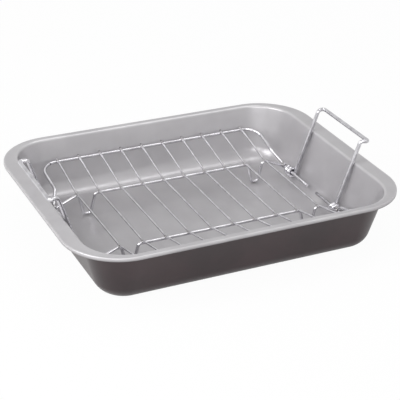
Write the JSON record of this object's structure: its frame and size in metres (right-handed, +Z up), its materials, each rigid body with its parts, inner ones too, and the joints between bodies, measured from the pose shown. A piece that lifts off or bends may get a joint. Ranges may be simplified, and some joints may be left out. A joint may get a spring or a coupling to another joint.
{
  "type": "roasting pan with rack",
  "caption": "Rectangular roasting pan with a flat rim and a lift-out wire rack whose swinging bail handles rest on the rim.",
  "frame": {"origin": "centre of the pan's flat underside", "axes": "+Z up, X along the pan's long side from handle to handle, Y across it"},
  "size_m": [0.432, 0.34, 0.1035],
  "materials": {
    "non_stick_steel": "satin grey non-stick coating",
    "chrome_wire": "bright chrome plating"
  },
  "bodies": {
    "pan": {"pan": "non_stick_steel"},
    "rack": {"back_top_rail": "chrome_wire", "back_base_rail": "chrome_wire", "front_top_rail": "chrome_wire", "front_base_rail": "chrome_wire", "cross_wire_01": "chrome_wire", "cross_wire_02": "chrome_wire", "cross_wire_03": "chrome_wire", "cross_wire_04": "chrome_wire", "cross_wire_05": "chrome_wire", "cross_wire_06": "chrome_wire", "cross_wire_07": "chrome_wire", "cross_wire_08": "chrome_wire", "cross_wire_09": "chrome_wire", "cross_wire_10": "chrome_wire"},
    "left_handle": {"left_handle": "chrome_wire"},
    "right_handle": {"right_handle": "chrome_wire"}
  },
  "joints": [
    {"name": "rack_lift", "type": "slide", "parent": "pan", "child": "rack", "axis": [0, 0, 1], "range_m": [0, 0.09]},
    {"name": "left_handle_hinge", "type": "hinge", "parent": "rack", "child": "left_handle", "pos_m": [-0.168, 0, 0.0153], "axis": [0, 1, 0], "range_deg": [0, 80]},
    {"name": "right_handle_hinge", "type": "hinge", "parent": "rack", "child": "right_handle", "pos_m": [0.168, 0, 0.0153], "axis": [0, -1, 0], "range_deg": [0, 80]}
  ]
}
